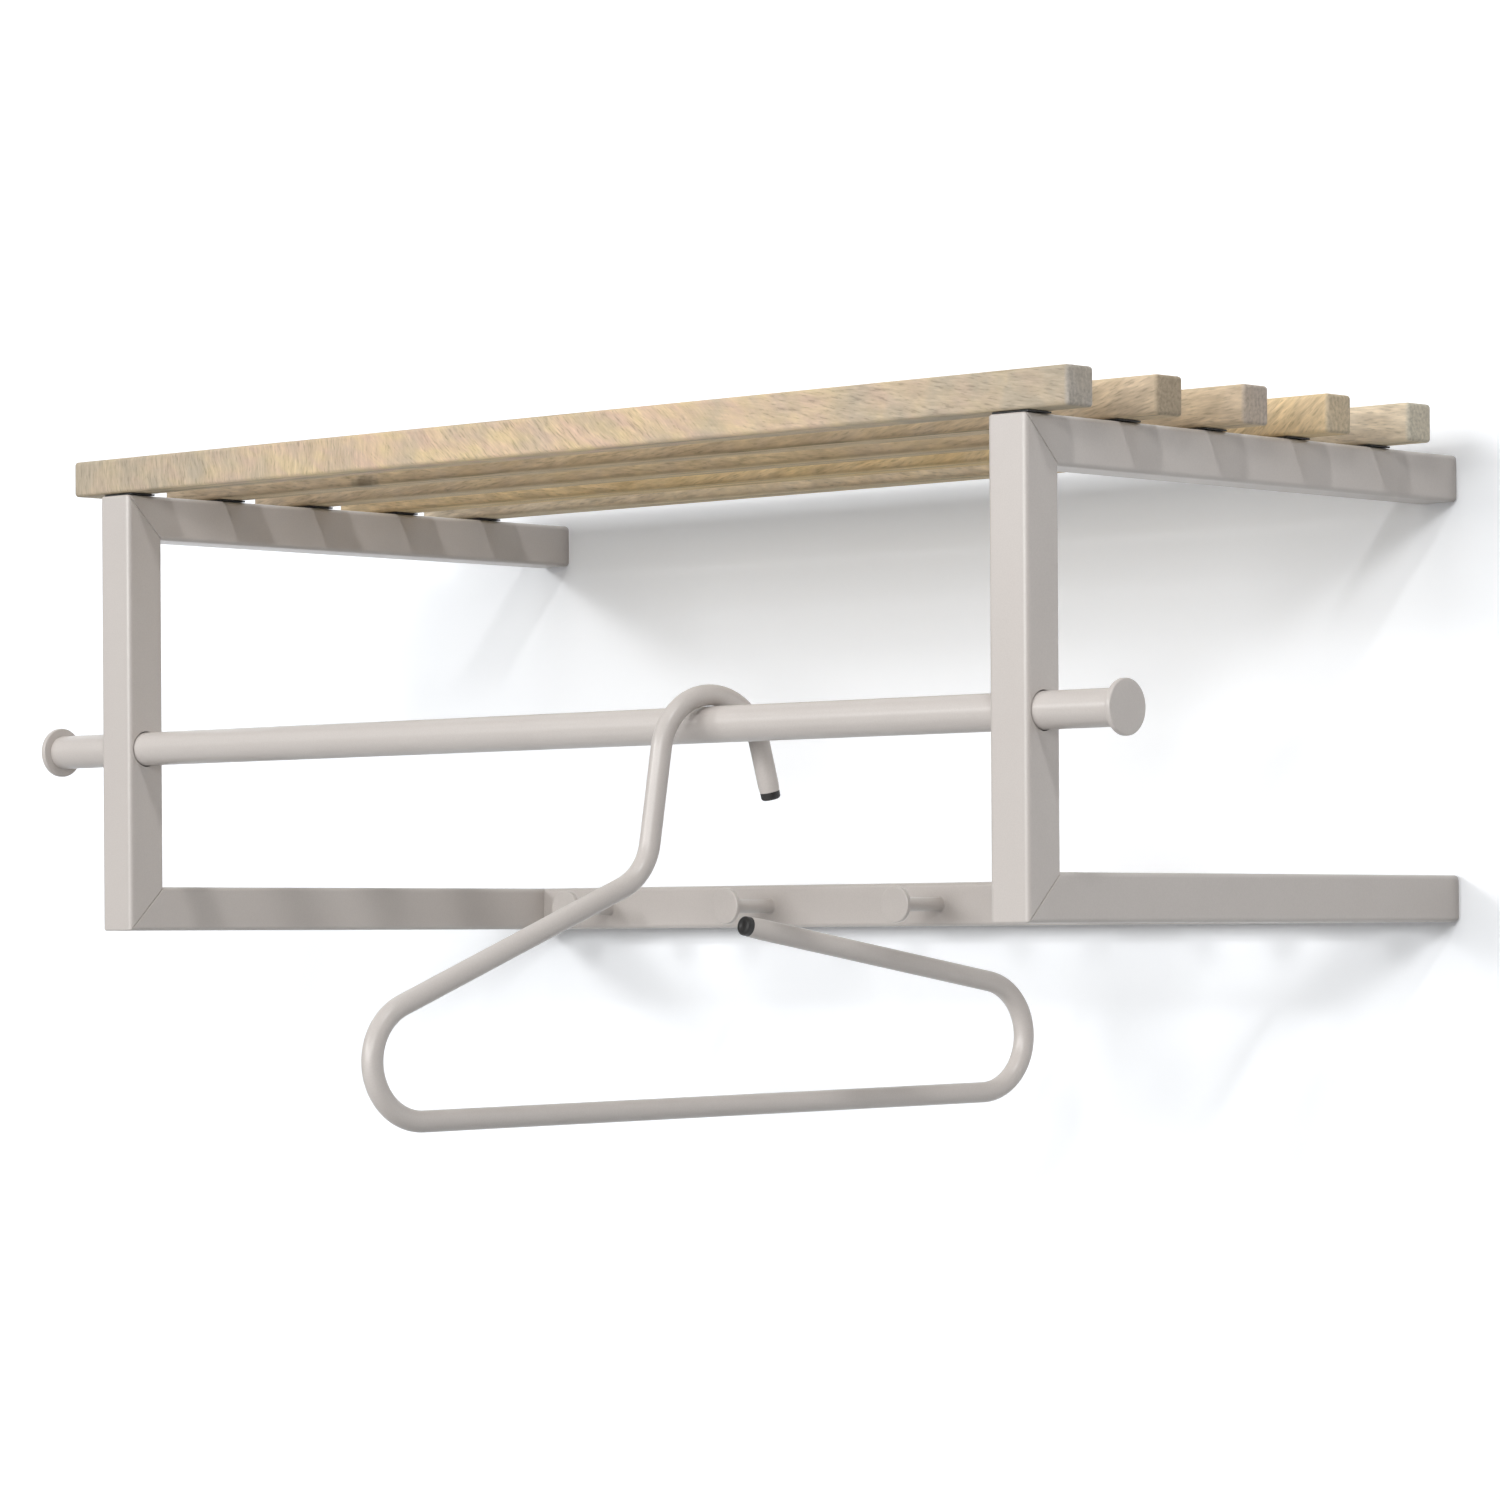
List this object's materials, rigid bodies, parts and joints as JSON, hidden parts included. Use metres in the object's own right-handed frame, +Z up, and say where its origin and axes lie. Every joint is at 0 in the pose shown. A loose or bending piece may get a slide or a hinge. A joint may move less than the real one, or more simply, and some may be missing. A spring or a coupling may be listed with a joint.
{
  "type": "wall coat rack",
  "caption": "Wall coat rack of square steel tube with an oak slat shelf, a round rod through the uprights, coat pegs on a back rail and a bent-tube hanger.",
  "frame": {"origin": "middle of the back rail's rear face, on the wall", "axes": "+X to the right along the wall seen from the front, +Y into the wall, +Z up"},
  "size_m": [0.8, 0.5587, 0.3715],
  "materials": {
    "powder_coated_steel": "satin powder coat, warm light grey",
    "limed_oak": "pale limed, matt",
    "zinc_plated_steel": "bright zinc",
    "black_plastic": "matt moulded"
  },
  "bodies": {
    "rack": {"back_rail": "powder_coated_steel", "coat_rod": "powder_coated_steel", "left_bottom_arm": "powder_coated_steel", "left_bottom_wall_plate": "powder_coated_steel", "left_rod_end_disc": "powder_coated_steel", "left_rod_lock_screw": "zinc_plated_steel", "left_slat_pin_1": "zinc_plated_steel", "left_slat_pin_2": "zinc_plated_steel", "left_slat_pin_3": "zinc_plated_steel", "left_slat_pin_4": "zinc_plated_steel", "left_slat_pin_5": "zinc_plated_steel", "left_slat_spacer_1": "black_plastic", "left_slat_spacer_2": "black_plastic", "left_slat_spacer_3": "black_plastic", "left_slat_spacer_4": "black_plastic", "left_slat_spacer_5": "black_plastic", "left_top_arm": "powder_coated_steel", "left_top_wall_plate": "powder_coated_steel", "left_upright": "powder_coated_steel", "peg_disc_1": "powder_coated_steel", "peg_disc_2": "powder_coated_steel", "peg_disc_3": "powder_coated_steel", "peg_disc_4": "powder_coated_steel", "peg_disc_5": "powder_coated_steel", "peg_stem_1": "powder_coated_steel", "peg_stem_2": "powder_coated_steel", "peg_stem_3": "powder_coated_steel", "peg_stem_4": "powder_coated_steel", "peg_stem_5": "powder_coated_steel", "right_bottom_arm": "powder_coated_steel", "right_bottom_wall_plate": "powder_coated_steel", "right_rod_end_disc": "powder_coated_steel", "right_rod_lock_screw": "zinc_plated_steel", "right_slat_pin_1": "zinc_plated_steel", "right_slat_pin_2": "zinc_plated_steel", "right_slat_pin_3": "zinc_plated_steel", "right_slat_pin_4": "zinc_plated_steel", "right_slat_pin_5": "zinc_plated_steel", "right_slat_spacer_1": "black_plastic", "right_slat_spacer_2": "black_plastic", "right_slat_spacer_3": "black_plastic", "right_slat_spacer_4": "black_plastic", "right_slat_spacer_5": "black_plastic", "right_top_arm": "powder_coated_steel", "right_top_wall_plate": "powder_coated_steel", "right_upright": "powder_coated_steel", "slat_1": "limed_oak", "slat_2": "limed_oak", "slat_3": "limed_oak", "slat_4": "limed_oak", "slat_5": "limed_oak"},
    "hanger": {"hanger_tube": "powder_coated_steel", "hook_end_plug": "black_plastic", "shoulder_end_plug": "black_plastic"}
  },
  "joints": [
    {"name": "hanger_slide", "type": "slide", "parent": "rack", "child": "hanger", "axis": [1, 0, 0], "range_m": [-0.43, 0.18]}
  ]
}
